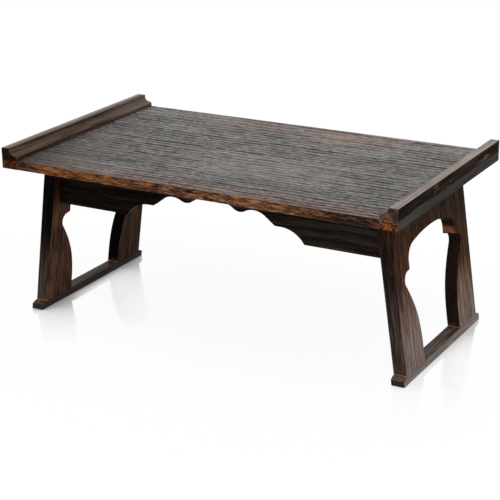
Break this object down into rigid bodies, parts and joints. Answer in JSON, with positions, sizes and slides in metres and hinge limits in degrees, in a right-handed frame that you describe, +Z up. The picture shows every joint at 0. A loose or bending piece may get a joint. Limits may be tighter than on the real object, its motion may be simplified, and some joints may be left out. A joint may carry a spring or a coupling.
{
  "type": "folding low tea table",
  "caption": "Low rectangular folding table of burnt wood with raised end rails, scalloped aprons and splayed panel legs with curved windows that fold flat beneath the top.",
  "frame": {"origin": "on the floor under the middle of the table", "axes": "+X along the table's length towards its right end, +Y towards the back, +Z up"},
  "size_m": [0.6, 0.345, 0.2539],
  "materials": {
    "board_wood": "satin",
    "rail_wood": "satin",
    "apron_wood": "satin",
    "leg_wood": "satin",
    "foot_wood": "satin",
    "underframe_wood": "matte",
    "bare_wood": "matte",
    "hinge_metal": "aged"
  },
  "bodies": {
    "frame": {"top_board": "board_wood", "left_end_batten": "board_wood", "right_end_batten": "board_wood", "left_end_rail": "rail_wood", "right_end_rail": "rail_wood", "end_rail_screws": "hinge_metal", "front_apron": "apron_wood", "back_apron": "apron_wood", "left_hinge_rail": "underframe_wood", "right_hinge_rail": "underframe_wood", "frame_dowels": "bare_wood", "left_bearer": "underframe_wood", "right_bearer": "underframe_wood", "bearer_screws": "hinge_metal", "corner_blocks": "bare_wood", "apron_blocks": "bare_wood", "left_front_frame_leaf": "hinge_metal", "left_back_frame_leaf": "hinge_metal", "right_front_frame_leaf": "hinge_metal", "right_back_frame_leaf": "hinge_metal", "left_front_hinge_pin": "hinge_metal", "left_back_hinge_pin": "hinge_metal", "right_front_hinge_pin": "hinge_metal", "right_back_hinge_pin": "hinge_metal", "frame_leaf_screws": "hinge_metal"},
    "left_leg": {"left_front_post": "leg_wood", "left_back_post": "leg_wood", "left_crown": "leg_wood", "left_foot_rail": "foot_wood", "left_foot_screws": "hinge_metal", "left_front_leg_leaf": "hinge_metal", "left_back_leg_leaf": "hinge_metal", "left_leg_leaf_screws": "hinge_metal"},
    "right_leg": {"right_front_post": "leg_wood", "right_back_post": "leg_wood", "right_crown": "leg_wood", "right_foot_rail": "foot_wood", "right_foot_screws": "hinge_metal", "right_front_leg_leaf": "hinge_metal", "right_back_leg_leaf": "hinge_metal", "right_leg_leaf_screws": "hinge_metal"}
  },
  "joints": [
    {"name": "left_leg_fold", "type": "hinge", "parent": "frame", "child": "left_leg", "pos_m": [-0.25229, 0, 0.1619], "axis": [0, -1, 0], "range_deg": [0, 98]},
    {"name": "right_leg_fold", "type": "hinge", "parent": "frame", "child": "right_leg", "pos_m": [0.25229, 0, 0.1619], "axis": [0, 1, 0], "range_deg": [0, 98]}
  ]
}
